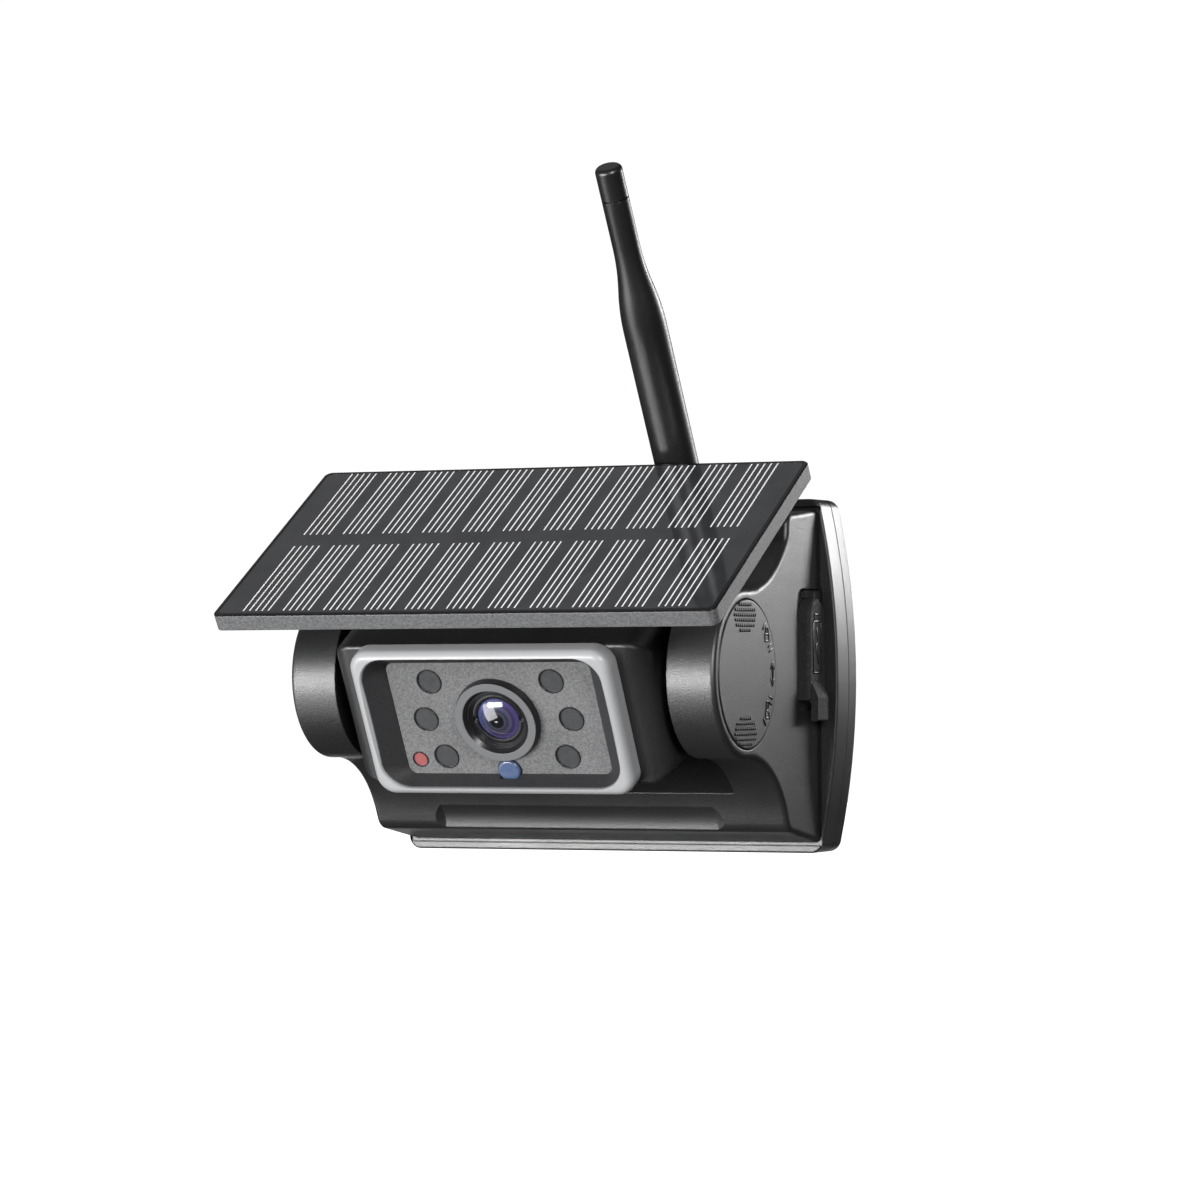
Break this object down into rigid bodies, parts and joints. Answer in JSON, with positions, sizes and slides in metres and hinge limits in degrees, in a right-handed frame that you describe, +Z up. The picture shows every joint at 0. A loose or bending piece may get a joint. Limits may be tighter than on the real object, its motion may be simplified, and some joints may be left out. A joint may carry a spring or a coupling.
{
  "type": "security camera",
  "caption": "Wireless magnetic-mount security camera with a tilting head between two barrel arms, a solar panel visor and a folding antenna.",
  "frame": {"origin": "centre of the magnetic rear face", "axes": "the camera looks along -Y, +Y points out of the magnetic face, +Z is up, +X is the end with the twist cover and the charging flap"},
  "size_m": [0.1238, 0.0976, 0.1574],
  "materials": {
    "housing_plastic": "charcoal moulded plastic with a fine spark-eroded grain",
    "bezel_plastic": "smooth satin grey plastic",
    "face_plastic": "grey plastic with a coarse grain",
    "panel_plastic": "charcoal moulded plastic, grained edges",
    "antenna_plastic": "satin black plastic",
    "rubber": "soft black rubber",
    "silicone": "silicone seal",
    "steel": "zinc plated steel",
    "magnet": "nickel plated magnet",
    "cell_wrap": "battery cell in a printed wrap",
    "cradle_plastic": "black moulded plastic",
    "circuit_board": "green solder mask",
    "chip": "black epoxy",
    "shield": "tin plated can",
    "cable_jacket": "black cable jacket",
    "bush_plastic": "natural acetal",
    "button_plastic": "light grey button",
    "lens_black": "black anodised lens ring",
    "lens_glass": "coated lens glass",
    "ir_window": "dark grey infrared window",
    "red_window": "dull red indicator window",
    "blue_window": "pale blue sensor window",
    "led_epoxy": "clear epoxy",
    "solar_cell": "monocrystalline cell sheet",
    "panel_glass": "clear laminate",
    "copper": "copper rod"
  },
  "bodies": {
    "root": {"front_housing": "housing_plastic", "rear_cover": "housing_plastic", "seam_seal": "rubber", "rear_pad": "rubber", "base_magnets": "magnet", "cover_screws": "steel", "lower_battery_cell": "cell_wrap", "upper_battery_cell": "cell_wrap", "battery_cradles": "cradle_plastic", "cell_contacts": "steel", "main_board": "circuit_board", "board_screws": "steel", "radio_shield": "shield", "board_chips": "chip", "usb_socket": "steel", "arm_cable": "cable_jacket", "cable_plug": "bush_plastic", "pivot_bushes": "bush_plastic", "friction_washers": "steel", "left_cap": "housing_plastic", "button_board": "circuit_board", "service_plate": "housing_plastic", "flap_anchor": "rubber", "panel_bracket": "housing_plastic", "bracket_screws": "steel", "panel_pin": "steel", "antenna_base": "housing_plastic", "antenna_pin": "steel"},
    "camera_head": {"left_trunnion": "cradle_plastic", "right_trunnion": "cradle_plastic", "head_shell": "housing_plastic", "head_bezel": "bezel_plastic", "face_plate": "face_plastic", "ir_windows": "ir_window", "status_window": "red_window", "sensor_window": "blue_window", "lens_ring": "lens_black", "lens_glass": "lens_glass", "lens_barrel": "lens_black", "lens_elements": "lens_glass", "sensor_board": "circuit_board", "image_sensor": "chip", "lens_holder": "cradle_plastic", "led_board": "circuit_board", "ir_leds": "led_epoxy", "status_led": "led_epoxy", "light_sensor": "chip", "bezel_screws": "steel", "head_cable": "cable_jacket"},
    "solar_panel": {"panel_tray": "panel_plastic", "solar_cells": "solar_cell", "panel_glass": "panel_glass"},
    "antenna": {"antenna_sleeve": "antenna_plastic", "antenna_rod": "copper", "antenna_tip": "antenna_plastic"},
    "twist_cover": {"twist_cover": "housing_plastic", "cover_o_ring": "silicone"},
    "usb_flap": {"usb_flap": "rubber"},
    "power_button": {"power_button": "button_plastic"},
    "pair_button": {"pair_button": "button_plastic"}
  },
  "joints": [
    {"name": "head_tilt", "type": "hinge", "parent": "root", "child": "camera_head", "pos_m": [0, -0.0576, 0.00055], "axis": [1, 0, 0], "range_deg": [-25, 45]},
    {"name": "panel_tilt", "type": "hinge", "parent": "root", "child": "solar_panel", "pos_m": [0, -0.04778, 0.03688], "axis": [-1, 0, 0], "range_deg": [0, 30]},
    {"name": "antenna_fold", "type": "hinge", "parent": "root", "child": "antenna", "pos_m": [0.025, -0.0279, 0.04255], "axis": [-1, 0, 0], "range_deg": [0, 75]},
    {"name": "cover_twist", "type": "hinge", "parent": "root", "child": "twist_cover", "pos_m": [0.0536, -0.0576, 0.00055], "axis": [1, 0, 0], "range_deg": [0, 45]},
    {"name": "flap_hinge", "type": "hinge", "parent": "root", "child": "usb_flap", "pos_m": [0.0534, -0.01955, 0.0181], "axis": [0, -1, 0], "range_deg": [0, 90]},
    {"name": "power_press", "type": "slide", "parent": "root", "child": "power_button", "axis": [-1, 0, 0], "range_m": [0, 0.0004], "stiffness_N_per_m": 150},
    {"name": "pair_press", "type": "slide", "parent": "root", "child": "pair_button", "axis": [-1, 0, 0], "range_m": [0, 0.0004], "stiffness_N_per_m": 150}
  ]
}
